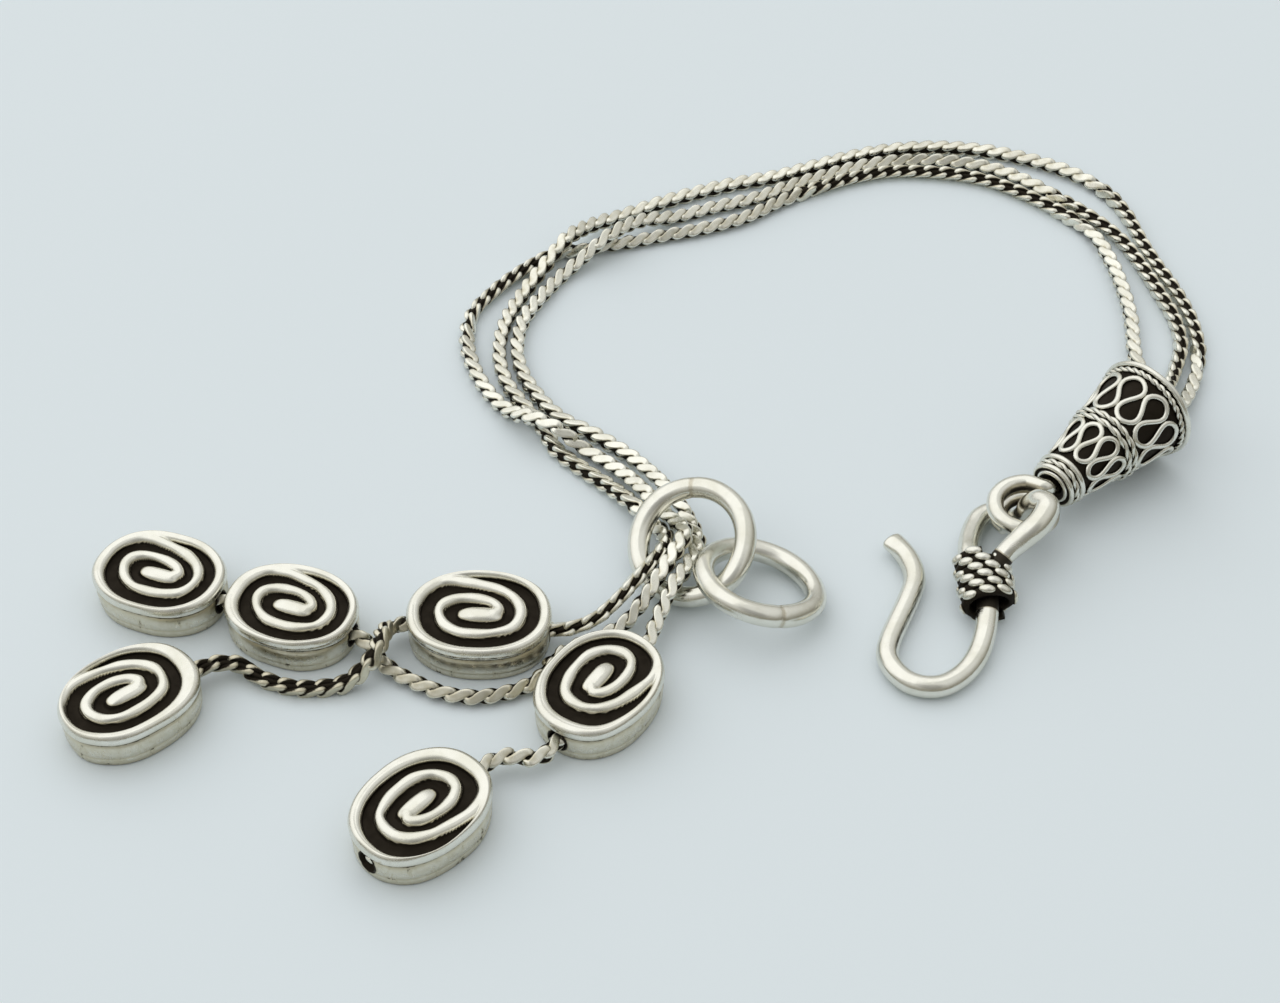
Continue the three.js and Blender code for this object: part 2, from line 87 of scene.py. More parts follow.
# Centre lines of the three curb chains, from inside the end cone to their last beads. A row with
# no height lies on the surface.
LYING_HEIGHT = 0.7
STRANDS = {
    "strand_a": [
        (40.9, -2.3, 4.3), (43.5, 0.2, 4.4), (46.0, 2.6, 4.0), (48.3, 5.6, 2.3), (50.1, 8.9, 1.0),
        (51.5, 12.2), (52.4, 15.9), (52.5, 20.0), (51.6, 25.0), (50.4, 29.0), (49.3, 33.3),
        (48.5, 37.2), (47.2, 40.8), (45.2, 43.6), (42.3, 45.9), (38.7, 47.7), (33.9, 49.2),
        (28.4, 49.7), (22.9, 49.0), (18.9, 47.7), (14.9, 46.0), (11.1, 44.4), (6.8, 43.2),
        (3.0, 41.8), (-1.4, 39.8), (-5.6, 37.4, 0.8), (-8.7, 34.9, 1.6), (-11.2, 31.5, 2.5),
        (-13.3, 28.5, 1.5), (-15.2, 25.5), (-17.0, 20.8), (-17.6, 16.1), (-16.8, 11.6),
        (-14.9, 7.9), (-13.1, 5.2), (-11.6, 1.9), (-9.0, -0.9), (-6.5, -3.4, 0.9),
        (-4.2, -6.5, 1.6), (-2.3, -9.2, 1.7), (-1.15, -12.0, 2.6), (-1.9, -14.8, 3.35),
        (-4.0, -17.6, 2.9), (-5.8, -19.7, 2.3), (-8.0, -21.6, 1.9), *through_hole("bead_3"),
        (-25.7, -22.5, 1.9), (-26.0, -24.0, 2.9), (-26.3, -25.9, 3.2), (-27.3, -27.0, 2.2),
        (-28.9, -27.9, 1.1), (-31.0, -28.3), (-33.6, -28.3), (-36.4, -27.4, 0.8),
        (-39.0, -26.1, 1.4), *through_hole("bead_5", "inside"),
    ],
    "strand_b": [
        (39.4, -0.7, 4.3), (41.7, 1.9, 4.2), (43.6, 4.8, 3.7), (45.2, 8.2, 2.3), (46.0, 11.8, 0.9),
        (46.0, 16.0), (46.4, 21.5), (46.1, 26.9), (45.4, 31.1), (44.2, 34.9), (41.3, 38.3),
        (37.5, 41.7), (33.9, 43.9), (29.1, 45.2), (23.7, 45.4), (19.5, 44.3), (15.6, 42.5),
        (11.6, 40.3), (7.7, 37.5), (2.9, 35.5), (-1.4, 34.3), (-5.0, 33.2), (-8.7, 32.4),
        (-12.3, 31.3), (-15.2, 29.1), (-18.4, 25.4), (-20.4, 22.0), (-20.9, 17.6), (-20.0, 13.4),
        (-18.3, 9.7), (-16.3, 6.9, 1.0), (-13.8, 4.4, 2.4), (-11.5, 3.0, 2.4), (-9.2, 2.0, 0.9),
        (-6.8, 0.1), (-4.4, -2.8, 1.3), (-2.5, -6.2, 2.2), (-0.6, -9.5, 2.6), (0.6, -12.5, 3.85),
        (-0.8, -15.8, 3.85), (-2.6, -18.7, 3.0), (-3.9, -20.4, 2.0), (-5.5, -21.7, 1.1),
        (-7.8, -22.8), (-10.5, -24.4), (-12.3, -27.15), (-14.4, -28.5), (-17.6, -29.3),
        (-20.7, -28.8), (-23.3, -27.5), (-24.8, -26.6), (-26.3, -25.35, 1.1),
        *through_hole("bead_2", "inside"), *through_hole("bead_1", "inside")[1:],
    ],
    "strand_c": [
        (40.1, -1.6, 5.9), (42.6, 1.0, 6.1), (44.9, 3.5, 5.4), (46.8, 6.5, 3.8), (48.2, 9.5, 2.0),
        (49.5, 12.9, 0.8), (50.7, 16.5), (50.8, 20.5), (49.8, 25.1), (48.6, 29.6), (47.1, 33.7),
        (44.9, 37.0), (42.4, 39.7), (39.7, 42.5), (36.7, 45.0), (32.0, 47.0), (26.1, 47.5),
        (21.1, 46.6), (16.6, 44.8), (12.7, 42.9), (8.9, 40.8), (4.5, 39.2), (0.2, 37.5),
        (-3.6, 35.3, 1.9), (-6.7, 32.2, 2.5), (-9.5, 29.9, 1.3), (-11.5, 27.9), (-13.5, 24.6),
        (-15.3, 20.7), (-15.8, 16.6), (-15.2, 12.9), (-13.6, 9.4), (-11.2, 6.1), (-8.1, 3.9),
        (-5.1, 1.3, 0.8), (-2.7, -1.9, 1.5), (-0.6, -5.6, 2.2), (1.0, -9.3, 2.4), (1.8, -12.5, 2.5),
        (0.9, -15.5, 2.9), (-0.65, -18.7, 3.25), (-1.8, -21.2, 2.3), *through_hole("bead_4"),
        (-12.3, -36.85, 1.65), (-15.0, -36.75, 1.65), *through_hole("bead_6", "inside"),
    ],
}

# How far each chain is rolled about its own line: distance along it, and degrees from flats up.
ROLL = {
    "strand_a": [
        (0, -30), (12, -15), (19, -8), (24, 88), (38, 104), (46, 100), (53, 32), (60, 28), (66, 2),
        (84, 0), (90, 14), (112, 14), (120, 2), (138, 0), (145, 24), (158, 18), (162, -32),
        (168, -62), (179, -55), (193, 45), (200, 60), (206, 104), (222, 116), (227, 70),
    ],
    "strand_b": [
        (0, -30), (14, -10), (36, 12), (44, 118), (70, 132), (75, 40), (98, 42), (103, 124),
        (113, 110), (119, 18), (131, -22), (138, -40), (158, -24), (166, 26), (174, 36), (222, 44),
    ],
    "strand_c": [
        (0, 60), (20, 70), (26, 90), (40, 108), (46, 112), (51, 38), (74, 42), (84, 36), (108, 32),
        (118, 4), (136, 0), (146, -30), (158, -22), (166, 22), (204, 34),
    ],
}

# How tarnished each chain is: distance along it, and amount from 0 to 1. Where strand_a runs past
# bead_2's foot, from 206 to 220, the amount is raised as painted shadow of the bead.
TARNISH_AND_SHADOW = {
    "strand_a": [
        (0, 0.06), (30, 0.06), (45, 0.15), (100, 0.13), (112, 0.14), (122, 0.18), (134, 0.04),
        (176, 0.08), (186, 0.26), (200, 0.28), (206, 0.42), (220, 0.42), (227, 0.12),
    ],
    "strand_b": [
        (0, 0.06), (36, 0.08), (48, 0.16), (104, 0.16), (116, 0.02), (150, 0.02),
        (172, 0.12), (182, 0.27), (206, 0.27), (213, 0.18),
    ],
    "strand_c": [
        (0, 0.08), (40, 0.10), (50, 0.14), (84, 0.14), (100, 0.05), (150, 0.02), (180, 0.10),
        (188, 0.22),
    ],
}

# The rings: middle, half sizes across and along, and how steeply each leans those two ways.
RINGS = {
    "bundle_ring": Spec(middle=(1.2, -13.4, 3.65), across=5.05, along=5.25, slope=(0.34, 0.47)),
    "link_ring": Spec(middle=(7.2, -17.65, 2.85), across=5.2, along=5.1, slope=(-0.27, -0.22)),
}
RING_WIRE = 1.0

CONE_FOOT = np.array((34.7, -6.65, 4.15))
CONE_MOUTH = np.array((44.87, 3.0, 5.35))
CONE = Spec(length=14.0, narrow_radius=1.95, wide_radius=4.7, wall=0.75, hollow_from=2.0,
            neck_radius=1.0, neck_length=1.4)

HOOK_WIRE = 1.0
HOOK_ROUTE = [
    (19.4, -10.6, 1.3), (20.5, -12.0, 1.1), (21.3, -13.9, 1.0), (21.4, -15.8, 1.0),
    (20.6, -18.3, 1.0), (19.5, -20.9, 1.0), (18.6, -23.2, 1.0), (18.3, -24.8, 1.0),
    (18.8, -26.5, 1.0), (20.0, -27.9, 1.0), (21.5, -28.4, 1.0), (23.0, -28.2, 1.0),
    (24.7, -27.0, 1.0), (26.1, -25.1, 1.1), (27.0, -22.8, 1.4), (27.5, -20.2, 1.8),
    (27.6, -17.5, 2.1), (27.5, -14.2, 2.2),
]
HOOK_EYE_ROUTE = [
    (26.9, -16.4, 2.2), (26.5, -13.8, 2.0), (26.7, -11.6, 1.5), (27.4, -9.2, 1.1),
    (28.3, -7.6, 1.0), (29.4, -7.1, 1.0), (30.5, -7.6, 1.0), (31.4, -8.5, 1.6), (31.9, -9.2, 2.9),
    (32.2, -9.4, 4.2), (32.9, -10.0, 5.4), (33.4, -11.3, 5.95), (32.5, -13.0, 5.6),
    (30.9, -14.0, 4.6), (29.4, -14.9, 3.5), (28.3, -16.2, 2.6),
]
WRAP_ENDS = np.array([(27.7, -20.4, 2.05), (27.4, -14.0, 2.3)])

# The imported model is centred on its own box, so its beads say how far the layout has moved.
low_corner, high_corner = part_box("bead_3")
SHIFT = np.array([(low_corner.x + high_corner.x) / 2 / MM - BEADS["bead_3"].x,
                  (low_corner.y + high_corner.y) / 2 / MM - BEADS["bead_3"].y, 0.0])


# ---- curves and frames
def smooth(share):
    """Eases a share from 0 to 1."""
    share = np.clip(share, 0, 1)
    return share * share * (3 - 2 * share)


def fade(value, start, span):
    """Falls from 1 to 0 over a span of values."""
    return 1 - smooth((value - start) / span)


def between(value, low, high, edge):
    """1 between two values and 0 beyond them, with soft edges."""
    return smooth((value - low) / edge) * smooth((high - value) / edge)


def near(gap, reach):
    """1 where there is no gap, falling away within about the reach."""
    return np.exp(-(gap / reach) ** 2)


def round_angles(count):
    """Angles evenly spaced round a circle."""
    return np.arange(count) / count * tau


def turned(first, second, angles):
    """A direction turned from one towards another by each of the angles."""
    return first * np.cos(angles)[:, None] + second * np.sin(angles)[:, None]


def unit(vectors):
    """The vectors at length 1."""
    return vectors / np.linalg.norm(vectors, axis=-1, keepdims=True)


def smooth_line(points, per_span=12):
    """Centripetal Catmull-Rom line through the points."""
    points = np.asarray(points, float)
    padded = np.vstack([2 * points[0] - points[1], points, 2 * points[-1] - points[-2]])
    t = np.linspace(0, 1, per_span, endpoint=False)[:, None]
    line = []
    for p0, p1, p2, p3 in zip(padded, padded[1:], padded[2:], padded[3:]):
        d0, d1, d2 = (max(np.linalg.norm(b - a) ** 0.5, 1e-4)
                      for a, b in ((p0, p1), (p1, p2), (p2, p3)))
        slope1 = ((p1 - p0) / d0 - (p2 - p0) / (d0 + d1) + (p2 - p1) / d1) * d1
        slope2 = ((p2 - p1) / d1 - (p3 - p1) / (d1 + d2) + (p3 - p2) / d2) * d1
        line.append((2 * t ** 3 - 3 * t ** 2 + 1) * p1 + (t ** 3 - 2 * t ** 2 + t) * slope1
                    + (-2 * t ** 3 + 3 * t ** 2) * p2 + (t ** 3 - t ** 2) * slope2)
    line.append(points[-1:])
    return np.vstack(line)


def distance_along(line):
    """How far along the line each of its points is."""
    return np.r_[0, np.cumsum(np.linalg.norm(np.diff(line, axis=0), axis=1))]


def points_at(line, distances):
    """Points of the line at distances from its start."""
    run = distance_along(line)
    return np.stack([np.interp(distances, run, values) for values in line.T], axis=1)


def table_at(rows, distances):
    """Values of a table of distances and values, at the given distances."""
    return np.interp(distances, *zip(*rows))


def even_line(line, count):
    """The same line with its points spaced evenly."""
    return points_at(line, np.linspace(0, distance_along(line)[-1], count))


def tangents(line, closed=False):
    """The line's direction at each of its points."""
    if closed:
        return unit(np.roll(line, -1, axis=0) - np.roll(line, 1, axis=0))
    return unit(np.gradient(line, axis=0))


def upright_frame(line, up=(0, 0, 1), closed=False):
    """Side and up vectors square to the line, with up as near to a given direction as it can be."""
    along = tangents(line, closed)
    side = unit(np.cross(up, along))
    return side, np.cross(along, side)


def carried_frame(line):
    """Side and up vectors that turn as little as they can along a line that isn't upright."""
    along = tangents(line)
    side = [unit(np.cross((0, 0, 1), along[0]))]
    for direction in along[1:]:
        side.append(unit(side[-1] - direction * (side[-1] @ direction)))
    side = np.array(side)
    return side, np.cross(along, side)


# ---- mesh building
class Shell:
    """Part of a mesh: vertices in millimetres, quads, caps, and how dark each vertex is painted, for its
    oxidation and for painted shade.
    """

    def __init__(self, vertices, quads, caps=(), oxide=0.0):
        self.vertices = np.asarray(vertices, float).reshape(-1, 3)
        self.quads = np.asarray(quads, int).reshape(-1, 4)
        self.caps = [list(cap) for cap in caps]
        self.oxide = np.broadcast_to(np.asarray(oxide, float).ravel(), (len(self.vertices),)).copy()


def grid_shell(vertices, rows, columns, closed=False, oxide=0.0):
    """A shell whose rows of vertices each go round. Where it isn't closed, its ends are capped."""
    row = np.arange(rows if closed else rows - 1)[:, None]
    column = np.arange(columns)[None, :]
    this_row, next_row = row * columns, (row + 1) % rows * columns
    after = (column + 1) % columns
    corners = [this_row + column, this_row + after, next_row + after, next_row + column]
    caps = [] if closed else [range(columns)[::-1], range((rows - 1) * columns, rows * columns)]
    return Shell(vertices, np.stack(corners, axis=-1), caps, oxide)


def round_points(angles, bow=1.0):
    """Points of a unit circle, squarer where bow is under 1."""
    circle = np.stack([np.cos(angles), np.sin(angles)], axis=1)
    return np.sign(circle) * np.abs(circle) ** bow


def sweep(line, axes, width, height, sides, closed=False, outward=None, bright=(0, 1), oxide=0.0,
          bow=1.0):
    """A wire along a line, with its side and up vectors. Width and height are half sizes.

    Where outward is given, faces are painted dark as shade by how they look that way: those that look
    that way less than the first share of bright are painted fully dark, and those that look that way
    more than its second share are as oxide says.
    """
    side, up = axes
    count = len(line)
    section = round_points(round_angles(sides) + pi / sides, bow)
    width = np.broadcast_to(width, (count,))[:, None, None]
    height = np.broadcast_to(height, (count,))[:, None, None]
    sideways = side[:, None, :] * section[None, :, 0:1]
    upwards = up[:, None, :] * section[None, :, 1:2]
    vertices = line[:, None, :] + sideways * width + upwards * height
    shade = np.broadcast_to(np.asarray(oxide, float).reshape(-1, 1), (count, sides)).copy()
    if outward is not None:
        normal = unit(sideways / width + upwards / height)
        facing = (normal * np.asarray(outward, float).reshape(-1, 1, 3)).sum(axis=2)
        # Faces that look away from outward are painted dark: painted shade.
        shade = np.maximum(shade, fade(facing, bright[0], bright[1] - bright[0]))
    return grid_shell(vertices, count, sides, closed, shade)


def rounded_ends(line, radius, least=0.05):
    """Share of the full thickness along a line, so that both its ends are domes."""
    run = distance_along(line)
    share = np.clip(np.minimum(run, run[-1] - run) / radius, 0, 1)
    return np.maximum(np.sqrt(1 - (1 - share) ** 2), least)


def rope(line, axes, ply, spread, turn_length, outward, away_share=0.6):
    """Two wires twisted round each other along a closed line, by equal turns."""
    side, up = axes
    turns = max(1, round(distance_along(line)[-1] / turn_length))
    phase = np.linspace(0, tau * turns, len(line), endpoint=False)
    shells = []
    for start in (0, pi):
        away = turned(side, up, phase + start)
        across = turned(up, -side, phase + start)
        # Faces that look in, to the other ply and to the cone, are painted dark as shade.
        shells.append(sweep(line + away * spread, (away, across), ply, ply, sides=8, closed=True,
                            outward=unit(outward + away_share * away), bright=(-0.2, 0.45)))
    return shells


def wobble(vertices, amount, wavelength, seed, count=5, usual_sum=2.2):
    """Pushes vertices about by a few crossing waves, as handwork does."""
    waves = np.random.default_rng(seed).normal(size=(count, 3))
    waves = unit(waves) * tau / wavelength
    phases = np.random.default_rng(seed + 1).uniform(0, tau, size=(count, 3))
    push = np.zeros_like(vertices)
    for wave, phase in zip(waves, phases):
        push += np.sin((vertices @ wave)[:, None] + phase[None, :])
    return vertices + push * amount / usual_sum


def set_oxide_and_shade(mesh, oxide):
    """Stores how dark each vertex is painted, for oxidation and for painted shade, and makes the mesh
    smooth.
    """
    if "oxide" in mesh.attributes:
        mesh.attributes.remove(mesh.attributes["oxide"])
    attribute = mesh.attributes.new("oxide", "FLOAT", "POINT")
    attribute.data.foreach_set("value", oxide.astype(np.float32))
    mesh.polygons.foreach_set("use_smooth", [True] * len(mesh.polygons))


def add_object(name, data, place=(0, 0, 0), facing=None):
    """A new object in the scene, at a place in metres, looking one way where that is given."""
    thing = bpy.data.objects.new(name, data)
    thing.location = place
    if facing:
        thing.rotation_mode = "QUATERNION"
        thing.rotation_quaternion = facing.to_track_quat("-Z", "Y")
    bpy.context.scene.collection.objects.link(thing)
    return thing


def make_mesh(name, shells):
    """A Blender mesh object in metres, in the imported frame, from shells in millimetres."""
    vertices, faces, oxide, start = [], [], [], 0
    for shell in shells:
        vertices.append(shell.vertices)
        oxide.append(shell.oxide)
        faces.extend((shell.quads + start).tolist())
        faces.extend([[v + start for v in cap] for cap in shell.caps])
        start += len(shell.vertices)
    mesh = bpy.data.meshes.new(name)
    mesh.from_pydata(((np.vstack(vertices) + SHIFT) * MM).tolist(), [], faces)
    mesh.validate()
    mesh.update()
    set_oxide_and_shade(mesh, np.concatenate(oxide))
    return add_object(name, mesh)


def finish_piece(piece, material, slot, *nodes):
    """Gives a piece its finish, its body, and the nodes that it stands in for."""
    piece.data.materials.clear()
    piece.data.materials.append(material)
    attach(piece, "root")
    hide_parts(*nodes)


# ---- materials
# Noise patterns of the metal, by the names of the node's sockets, in metres.
NOISE = {
    "patches": dict(Scale=1400, Detail=6, Roughness=0.7),
    "streaks": dict(Scale=1300, Detail=5, Roughness=0.7, stretch=(1, 1, 0.45)),
    "tone": dict(Scale=260, Detail=3, Roughness=0.6),
    "polish": dict(Scale=900, Detail=5, Roughness=0.6),
    "marks": dict(Scale=2600, Detail=3, Roughness=0.6, stretch=(1, 5, 2)),
    "dents": dict(Scale=480, Detail=5, Roughness=0.62),
}
# How dark the mesh paints the metal where it turns beige, and then black, starts and is full, and how
# much rougher each of them makes it. The black is oxidation, and painted shade as well.
TARNISHED = Spec(limits=(0.08, 0.42), rougher=0.12)
BLACKENED = Spec(limits=(0.44, 0.72), rougher=0.26)
BUMP_HEIGHT = 0.00006


def ramp(tree, value, given, wanted=(0, 1)):
    """A node output that eases a value from one range to another."""
    node = tree.nodes.new("ShaderNodeMapRange")
    node.interpolation_type = "SMOOTHSTEP"
    for socket, limit in zip(("From Min", "From Max", "To Min", "To Max"), (*given, *wanted)):
        node.inputs[socket].default_value = limit
    tree.links.new(value, node.inputs["Value"])
    return node.outputs["Result"]


def mixed(tree, share, first, second):
    """A node output that mixes two colours, each a plain one or another node's output."""
    node = tree.nodes.new("ShaderNodeMix")
    node.data_type = "RGBA"
    tree.links.new(share, node.inputs["Factor"])
    sockets = [socket for socket in node.inputs if socket.type == "RGBA"]
    for socket, colour in zip(sockets, (first, second)):
        if isinstance(colour, tuple):
            socket.default_value = (*colour, 1)
        else:
            tree.links.new(colour, socket)
    return [socket for socket in node.outputs if socket.type == "RGBA"][0]


def silver(name, light, shade, beige, oxide, roughness, patchiness, scratch, streaks=0.0):
    """Worn silver, tarnished, oxidised and painted dark with shade where the mesh says so, with streaks
    on upright faces.
    """
    material = bpy.data.materials.new(name)
    material.use_nodes = True
    tree = material.node_tree
    nodes, links = tree.nodes, tree.links
    shader = nodes["Principled BSDF"]
    shader.inputs["Metallic"].default_value = 1.0
    place = nodes.new("ShaderNodeTexCoord")

    def noise(kind):
        look = NOISE[kind]
        vector = place.outputs["Object"]
        if "stretch" in look:
            scaled = nodes.new("ShaderNodeMapping")
            scaled.inputs["Scale"].default_value = look["stretch"]
            links.new(vector, scaled.inputs["Vector"])
            vector = scaled.outputs["Vector"]
        node = nodes.new("ShaderNodeTexNoise")
        for socket in ("Scale", "Detail", "Roughness"):
            node.inputs[socket].default_value = look[socket]
        links.new(vector, node.inputs["Vector"])
        return node.outputs["Fac"]

    def maths(kind, first, second):
        node = nodes.new("ShaderNodeMath")
        node.operation = kind
        for socket, value in zip(node.inputs, (first, second)):
            if isinstance(value, (int, float)):
                socket.default_value = value
            else:
                links.new(value, socket)
        return node.outputs["Value"]

    attribute = nodes.new("ShaderNodeAttribute")
    attribute.attribute_name = "oxide"
    patches = maths("MULTIPLY", maths("SUBTRACT", noise("patches"), 0.5), patchiness)
    worn = maths("ADD", attribute.outputs["Fac"], patches)
    if streaks:
        surface = nodes.new("ShaderNodeNewGeometry")
        parts = nodes.new("ShaderNodeSeparateXYZ")
        links.new(surface.outputs["Normal"], parts.inputs["Vector"])
        steepness = maths("ABSOLUTE", parts.outputs["Z"], 0)
        upright = ramp(tree, steepness, (0.25, 0.5), (streaks, 0))
        thin = ramp(tree, noise("streaks"), (0.52, 0.80))
        worn = maths("ADD", worn, maths("MULTIPLY", upright, thin))
    tarnish_and_shade = ramp(tree, worn, TARNISHED.limits)
    black = ramp(tree, worn, BLACKENED.limits)
    tone = ramp(tree, noise("tone"), (0.42, 0.66))
    colour = mixed(tree, tarnish_and_shade, mixed(tree, tone, light, shade), beige)
    links.new(mixed(tree, black, colour, oxide), shader.inputs["Base Color"])
    polish = ramp(tree, noise("polish"), (0.35, 0.7), (roughness * 0.75, roughness * 1.4))
    dull = maths("ADD", ramp(tree, tarnish_and_shade, (0, 1), (0, TARNISHED.rougher)),
                 ramp(tree, black, (0, 1), (0, BLACKENED.rougher)))
    links.new(maths("ADD", polish, dull), shader.inputs["Roughness"])

    bump = nodes.new("ShaderNodeBump")
    bump.inputs["Strength"].default_value = scratch
    bump.inputs["Distance"].default_value = BUMP_HEIGHT
    marks = maths("MULTIPLY", noise("marks"), 0.35)
    links.new(maths("ADD", marks, noise("dents")), bump.inputs["Height"])
    links.new(bump.outputs["Normal"], shader.inputs["Normal"])
    return material


LIGHT = (0.80, 0.79, 0.72)
SHADE = (0.73, 0.717, 0.632)
BEIGE = (0.62, 0.58, 0.45)
# Near black, for oxidation and for painted shade.
OXIDE_AND_SHADE = (0.028, 0.023, 0.017)
# The near black of bright_silver paints the solder, and painted shade in the cone's eye and under the
# wrap.
bright_silver = silver("bright_silver", LIGHT, SHADE, (0.50, 0.455, 0.35), (0.05, 0.043, 0.033),
                       roughness=0.20, patchiness=0.30, scratch=0.22)
chain_silver = silver("chain_silver", (0.87, 0.86, 0.775), (0.74, 0.725, 0.635), BEIGE, OXIDE_AND_SHADE,
                      roughness=0.26, patchiness=0.30, scratch=0.15)
carved_silver = silver("oxidised_silver", LIGHT, SHADE, BEIGE, OXIDE_AND_SHADE,
                       roughness=0.24, patchiness=0.34, scratch=0.30, streaks=0.55)


# ---- the curb chains
# A link's oval stands on the chain's line: its flats face up and down, its twist goes across.
LINK = Spec(pitch=1.66, length=1.17, width=0.46, twist=-0.33, fullness=0.8, flat=0.61, steps=32,
            sides=12)
# Its wire: half thickness at its ends, what its long sides add, and how its section is turned and
# squared.
LINK_WIRE = Spec(half=0.28, thicker=0.03, broader=0.15, long_sides=1.4, inwards=0.35, corners=0.7)
# How its flats are tilted, and how far they reach from the middle.
LINK_TILT = Spec(amount=0.10, along=0.42, across=0.91, reach=0.3)
# Painted shade on a link: how far a face has to look outwards to be painted black and to be bright,
# and the share of outwards that lies along the link.
LINK_SHADE = Spec(black_to=0.32, span=0.46, along=0.25)
# A dark tube along each chain's line, painting the shade inside the chain and in the gaps between its
# links.
LINK_SHADE_CORE = Spec(half_width=0.52, half_height=0.34)
# How much the links of one chain differ: their roll in degrees, and their height.
LOOSENESS = Spec(roll=2.5, height=0.012)


def link_shape():
    """One curb link about its own middle: a twisted oval, broad and flat on its two long sides."""
    t = round_angles(LINK.steps)
    bowed = np.sign(np.sin(t)) * np.abs(np.sin(t)) ** LINK.fullness
    line = np.stack([LINK.length * np.cos(t), LINK.width * bowed,
                     LINK.twist * np.sin(2 * t)], axis=1)
    along = tangents(line, closed=True)
    radial = np.stack([LINK_WIRE.inwards * np.cos(t), np.sin(t), 0 * t], axis=1)
    side = unit(np.cross(along, np.cross(radial, along)))
    across = np.cross(along, side)
    sidedness = np.abs(np.sin(t)) ** LINK_WIRE.long_sides
    shell = sweep(line, (side, across), LINK_WIRE.half + LINK_WIRE.thicker * sidedness,
                  LINK_WIRE.half + LINK_WIRE.broader * sidedness, LINK.sides, closed=True,
                  bow=LINK_WIRE.corners)
    vertices = shell.vertices
    vertices[:, 1] = np.clip(vertices[:, 1], -LINK.flat, LINK.flat)
    ring = vertices.reshape(LINK.steps, LINK.sides, 3)
    normal = unit(ring - line[:, None, :])
    upper = np.clip(vertices[:, 1] / LINK_TILT.reach, -1, 1)
    lean = LINK_TILT.along * vertices[:, 0] + LINK_TILT.across * upper * vertices[:, 2]
    vertices[:, 1] += LINK_TILT.amount * lean * np.abs(upper)
    # Faces that look in towards the chain's line are painted dark, as the shade between the links.
    facing = (normal * unit(ring * (LINK_SHADE.along, 1, 1))).sum(axis=2)
    shell.oxide = fade(facing, LINK_SHADE.black_to, LINK_SHADE.span).ravel()
    return shell


def chain(name, route, rolls, tarnish_and_shade):
    """A curb chain along its route: equal links, each turned, tarnished and shaded as the tables say,
    round a dark tube of painted shade.
    """
    line = smooth_line([(*row, LYING_HEIGHT)[:3] for row in route])
    length = distance_along(line)[-1]
    count = int(length // LINK.pitch)
    at = (np.arange(count) + 0.5) * length / count
    middle = points_at(line, at)
    side, up = upright_frame(middle)
    along = tangents(middle)
    roll = np.radians(table_at(rolls, at) + rng.normal(0, LOOSENESS.roll, count))
    flats = turned(up, side, roll)
    ends = np.cross(along, flats)
    link = link_shape()
    height = rng.normal(1, LOOSENESS.height, count)
    axes = np.stack([along, flats * height[:, None], ends], axis=1)
    vertices = middle[:, None, :] + link.vertices @ axes
    quads = link.quads[None] + (np.arange(count) * len(link.vertices))[:, None, None]
    oxide = link.oxide[None, :] + table_at(tarnish_and_shade, at)[:, None]
    # The dark tube inside the links is painted shade.
    core = sweep(middle, (ends, flats), LINK_SHADE_CORE.half_width, LINK_SHADE_CORE.half_height, sides=10,
                 oxide=1.0)
    return make_mesh(name, [Shell(vertices, quads, oxide=oxide), core])


for node, route in STRANDS.items():
    strand = chain("curb_chain_" + node[-1], route, ROLL[node], TARNISH_AND_SHADOW[node])
    finish_piece(strand, chain_silver, "chain_silver", node)


# ---- the spiral beads
# How far in from the outline, how high, and how dark each ring of a bead's wall is painted: tarnished
# all over, with the seam's dark marks a third up, and painted shade at its foot and in the groove under
# the rim, where it is oxidised as well.
BEAD_WALL = [
    (0.50, 0.00, 0.60), (0.38, 0.03, 0.60), (0.29, 0.12, 0.54), (0.23, 0.30, 0.42),
    (0.18, 0.60, 0.30), (0.16, 0.85, 0.27), (0.19, 0.95, 0.40), (0.19, 1.03, 0.40),
    (0.15, 1.13, 0.27), (0.12, 1.50, 0.24), (0.12, 1.90, 0.26), (0.15, 2.25, 0.30),
    (0.22, 2.50, 0.40), (0.33, 2.64, 0.70), (0.32, 2.73, 0.66), (0.15, 2.82, 0.36),
    (0.06, 2.92, 0.16), (0.01, 3.04, 0.06), (0.00, 3.18, 0.0),
]
# The rim's insets, how much of them its long sides take, and its heights.
RIM = Spec(crest_inset=0.60, inner=1.26, long_side=0.72, crest=3.88, outer_height=3.18)
RIM_INSETS = [0.01, 0.04, 0.09, 0.16, 0.25, 0.36, 0.48, 0.60, 0.73, 0.84, 0.94, 1.03, 1.10, 1.16,
              1.20, 1.24, 1.29, 1.36]
# The spiral wire: from the rim, once and a half round, to a hook that runs into a bar.
SPIRAL = [(-5.45, 0.5), (-5.05, 1.5), (-4.35, 2.45), (-3.4, 3.05), (-2.2, 3.25), (-1.1, 3.12),
          (0.1, 2.86), (1.6, 2.42), (2.95, 1.5), (3.6, 0.35), (3.58, -0.85), (3.0, -1.95),
          (1.6, -2.6), (0.0, -2.78), (-1.6, -2.6), (-2.85, -1.75), (-3.4, -0.45), (-3.15, 0.5),
          (-2.25, 1.12), (-0.9, 1.32), (0.4, 1.15), (1.35, 0.7), (1.75, 0.1), (1.45, -0.4)]
SPIRAL_WIRE = Spec(half_width=0.60, crest=3.84)
# Its lumps: how high they are, how many radians of them there are, and how seeds move them.
SPIRAL_LUMPS = [(0.07, 29, 1), (0.05, 61, 2)]
BAR = Spec(middle=(0.17, -0.58), half_length=2.10, half_width=0.90, crest=3.88, squareness=2.6)
RIDGE_FULLNESS = 2.4
